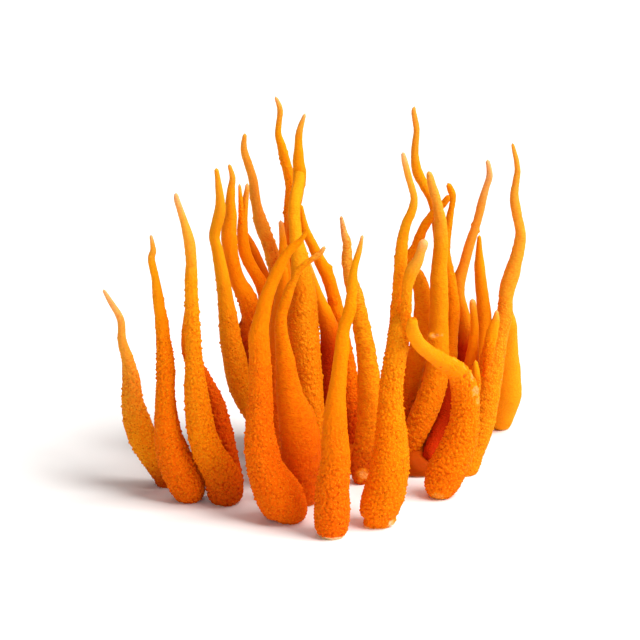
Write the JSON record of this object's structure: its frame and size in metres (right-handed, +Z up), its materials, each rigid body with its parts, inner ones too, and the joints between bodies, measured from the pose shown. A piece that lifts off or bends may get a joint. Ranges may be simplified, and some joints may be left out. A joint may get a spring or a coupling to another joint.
{
  "type": "cordyceps fungus clump",
  "caption": "Dense clump of upright orange cordyceps fruit bodies, granular below and tapering to wavy pale tips, with cut feet and a low fused base that rest flat on the floor.",
  "frame": {"origin": "middle of the bounding box at floor height: the cut feet and the base's flat underside are at z = 0", "axes": "+X to the right as the picture sees it, +Y away from the camera, +Z up"},
  "size_m": [0.071, 0.0556, 0.0642],
  "materials": {
    "club_flesh": "moist, finely granular orange flesh, smoother and paler at the tips",
    "base_flesh": "smooth brownish orange flesh"
  },
  "bodies": {
    "root": {"branch_front_right_blunt": "club_flesh", "branch_front_right_long": "club_flesh", "bud_right_blunt": "club_flesh", "bud_right_low": "club_flesh", "bud_right_pointed": "club_flesh", "club_back_left_forked": "club_flesh", "club_back_left_hidden": "club_flesh", "club_back_left_outer": "club_flesh", "club_back_left_second": "club_flesh", "club_back_left_tall": "club_flesh", "club_back_right_crossing": "club_flesh", "club_back_right_hooked": "club_flesh", "club_back_right_tallest": "club_flesh", "club_back_right_thick": "club_flesh", "club_back_small": "club_flesh", "club_back_tall_second": "club_flesh", "club_back_tallest": "club_flesh", "club_behind_front": "club_flesh", "club_bent_right": "club_flesh", "club_centre_crossing": "club_flesh", "club_centre_shoulder": "club_flesh", "club_centre_thick": "club_flesh", "club_far_left": "club_flesh", "club_far_right": "club_flesh", "club_far_right_back": "club_flesh", "club_front": "club_flesh", "club_front_left": "club_flesh", "club_front_left_twin": "club_flesh", "club_front_right": "club_flesh", "club_inner_left": "club_flesh", "club_inner_right": "club_flesh", "club_left_inner": "club_flesh", "club_left_inner_twin": "club_flesh", "club_left_outer": "club_flesh", "club_right_slanting": "club_flesh", "club_right_slim": "club_flesh", "fused_base": "base_flesh", "twig_back_left": "club_flesh"}
  },
  "joints": []
}
